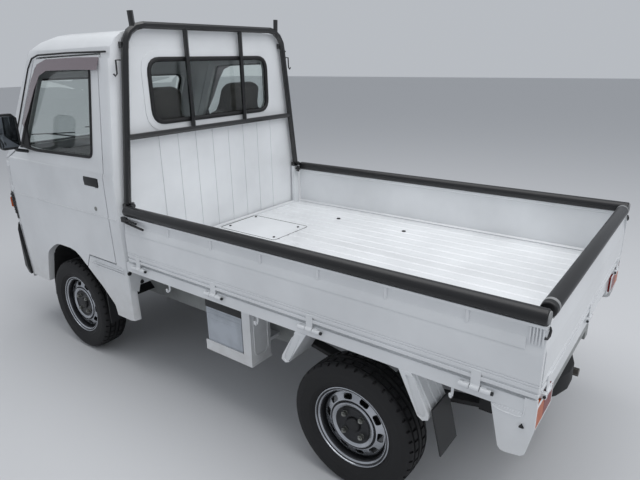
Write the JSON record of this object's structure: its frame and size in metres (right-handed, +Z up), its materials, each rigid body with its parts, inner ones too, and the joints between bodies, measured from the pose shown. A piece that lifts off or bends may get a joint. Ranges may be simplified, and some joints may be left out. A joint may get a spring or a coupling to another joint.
{
  "type": "kei truck",
  "caption": "Small cab-over drop-side pickup truck with opening doors, fold-down gates, steered front wheels and a tubular guard behind the cab.",
  "frame": {"origin": "on the ground, in the middle of the truck's length and width", "axes": "+X to the truck's left, +Y rearwards along its length, +Z up"},
  "size_m": [1.732, 3.295, 1.8387],
  "materials": {
    "white_paint": "gloss enamel",
    "dark_paint": "satin chassis black",
    "silver_paint": "metallic wheel paint",
    "black_steel": "satin black tube",
    "black_plastic": "grained",
    "grey_plastic": "grained",
    "white_plastic": "satin",
    "foam": "soft foam",
    "tyre": "worn rubber",
    "glass": "clear",
    "lamp_red": "moulded lens",
    "lamp_amber": "moulded lens",
    "lamp_clear": "moulded lens",
    "seat_cloth": "woven",
    "cast_metal": "rough cast",
    "pipe_steel": "dull"
  },
  "bodies": {
    "truck": {"cab_roof": "white_paint", "cab_back_panel": "white_paint", "cab_front_panel": "white_paint", "cab_side_left": "white_paint", "cab_side_right": "white_paint", "cab_floor": "white_paint", "bed_floor": "white_paint", "bed_frame": "white_paint", "corner_posts": "white_paint", "battery_tray": "white_paint", "battery_case": "white_plastic", "mudguards": "white_paint", "mud_flaps": "black_plastic", "chassis_frame": "dark_paint", "front_suspension": "dark_paint", "leaf_springs": "dark_paint", "fuel_tank": "dark_paint", "spare_wheel": "tyre", "guard_frame": "black_steel", "front_trim": "black_plastic", "amber_lamps": "lamp_amber", "dashboard": "grey_plastic", "windscreen": "glass", "rear_window": "glass", "tail_lamps": "lamp_red", "front_lamps": "lamp_clear", "seat_bases": "seat_cloth", "seat_backs": "seat_cloth", "engine_block": "cast_metal", "rear_axle": "cast_metal", "exhaust": "pipe_steel"},
    "steering": {"steering_wheel": "black_plastic"},
    "tailgate": {"tailgate": "white_paint", "pad_tail": "foam"},
    "door_left": {"door_left": "white_paint", "door_glass_left": "glass", "door_fittings_left": "black_plastic"},
    "gate_left": {"gate_left": "white_paint", "pad_left": "foam"},
    "knuckle_left": {"knuckle_left": "cast_metal"},
    "wheel_front_left": {"tyre_front_left": "tyre", "rim_front_left": "silver_paint"},
    "wheel_rear_left": {"tyre_rear_left": "tyre", "rim_rear_left": "silver_paint"},
    "door_right": {"door_right": "white_paint", "door_glass_right": "glass", "door_fittings_right": "black_plastic"},
    "gate_right": {"gate_right": "white_paint", "pad_right": "foam"},
    "knuckle_right": {"knuckle_right": "cast_metal"},
    "wheel_front_right": {"tyre_front_right": "tyre", "rim_front_right": "silver_paint"},
    "wheel_rear_right": {"tyre_rear_right": "tyre", "rim_rear_right": "silver_paint"}
  },
  "joints": [
    {"name": "door_left_hinge", "type": "hinge", "parent": "truck", "child": "door_left", "pos_m": [0.695, -1.4315, 0.9], "axis": [0, 0, -1], "range_deg": [0, 70]},
    {"name": "gate_left_hinge", "type": "hinge", "parent": "truck", "child": "gate_left", "pos_m": [0.696, 0.64, 0.656], "axis": [0, 1, 0], "range_deg": [0, 175]},
    {"name": "door_right_hinge", "type": "hinge", "parent": "truck", "child": "door_right", "pos_m": [-0.695, -1.4315, 0.9], "axis": [0, 0, 1], "range_deg": [0, 70]},
    {"name": "gate_right_hinge", "type": "hinge", "parent": "truck", "child": "gate_right", "pos_m": [-0.696, 0.64, 0.656], "axis": [0, -1, 0], "range_deg": [0, 175]},
    {"name": "tailgate_hinge", "type": "hinge", "parent": "truck", "child": "tailgate", "pos_m": [0, 1.6435, 0.656], "axis": [-1, 0, 0], "range_deg": [0, 175]},
    {"name": "steering_wheel_turn", "type": "hinge", "parent": "truck", "child": "steering", "pos_m": [-0.33, -1.2695, 1.085], "axis": [0, 0.6481, 0.7615], "range_deg": [-630, 630]},
    {"name": "steer_left", "type": "hinge", "parent": "truck", "child": "knuckle_left", "pos_m": [0.545, -0.9205, 0.178], "axis": [-0.1752, 0, 0.9845], "range_deg": [-36, 36]},
    {"name": "wheel_front_left_spin", "type": "hinge", "parent": "knuckle_left", "child": "wheel_front_left", "pos_m": [0.605, -0.9205, 0.27], "axis": [1, 0, 0], "continuous": true},
    {"name": "wheel_rear_left_spin", "type": "hinge", "parent": "truck", "child": "wheel_rear_left", "pos_m": [0.605, 0.9795, 0.27], "axis": [1, 0, 0], "continuous": true},
    {"name": "steer_right", "type": "hinge", "parent": "truck", "child": "knuckle_right", "pos_m": [-0.545, -0.9205, 0.178], "axis": [0.1752, 0, 0.9845], "range_deg": [-36, 36]},
    {"name": "wheel_front_right_spin", "type": "hinge", "parent": "knuckle_right", "child": "wheel_front_right", "pos_m": [-0.605, -0.9205, 0.27], "axis": [1, 0, 0], "continuous": true},
    {"name": "wheel_rear_right_spin", "type": "hinge", "parent": "truck", "child": "wheel_rear_right", "pos_m": [-0.605, 0.9795, 0.27], "axis": [1, 0, 0], "continuous": true}
  ],
  "couplings": [
    {"joint": "steer_left", "follows": "steering_wheel_turn", "ratio": 0.055556},
    {"joint": "steer_right", "follows": "steering_wheel_turn", "ratio": 0.055556}
  ]
}
